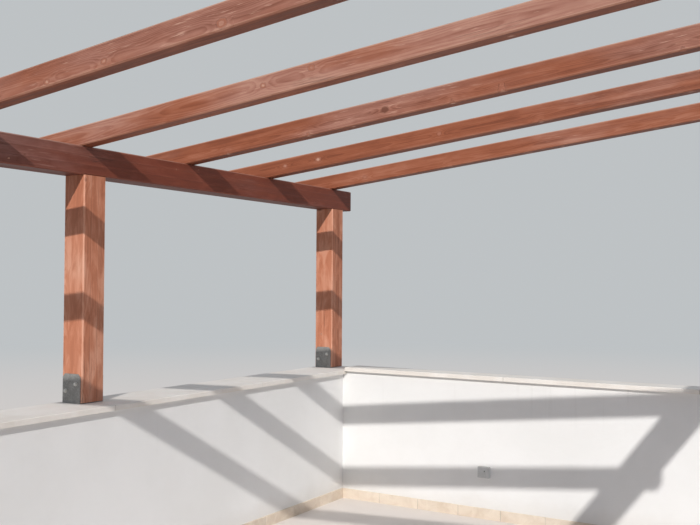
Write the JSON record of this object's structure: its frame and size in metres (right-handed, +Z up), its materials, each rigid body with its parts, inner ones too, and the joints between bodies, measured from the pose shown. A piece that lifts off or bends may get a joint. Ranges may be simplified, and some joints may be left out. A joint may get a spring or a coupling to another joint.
{
  "type": "wooden pergola on a terrace parapet",
  "caption": "Open timber pergola: sloped rafters on square beams and posts in steel shoes; its low side stands on an L-shaped rendered parapet.",
  "frame": {"origin": "floor level, half way between the two beams and at the middle post of each row", "axes": "+X along the rafters from the low front beam to the high rear beam, +Y along the beams towards the corner of the parapet, +Z up"},
  "size_m": [4.86, 5.572, 3.0395],
  "materials": {
    "timber": "satin red-brown stain with clear grain",
    "plaster": "matt white render",
    "coping_stone": "honed pale stone",
    "skirting_tile": "matt beige tile",
    "socket_plastic": "matt light grey",
    "shoe_steel": "dull grey zinc coating"
  },
  "bodies": {
    "root": {"front_beam": "timber", "front_coping_1": "coping_stone", "front_coping_2": "coping_stone", "front_coping_3": "coping_stone", "front_coping_4": "coping_stone", "front_parapet": "plaster", "front_post_1": "timber", "front_post_2": "timber", "front_post_3": "timber", "front_shoe_1": "shoe_steel", "front_shoe_2": "shoe_steel", "front_shoe_3": "shoe_steel", "front_skirting": "skirting_tile", "rafter_1": "timber", "rafter_2": "timber", "rafter_3": "timber", "rafter_4": "timber", "rafter_5": "timber", "rafter_6": "timber", "rafter_7": "timber", "rear_beam": "timber", "rear_post_1": "timber", "rear_post_2": "timber", "rear_post_3": "timber", "rear_shoe_1": "shoe_steel", "rear_shoe_2": "shoe_steel", "rear_shoe_3": "shoe_steel", "side_coping_1": "coping_stone", "side_coping_2": "coping_stone", "side_coping_3": "coping_stone", "side_parapet": "plaster", "side_skirting": "skirting_tile", "wall_socket": "socket_plastic"}
  },
  "joints": []
}
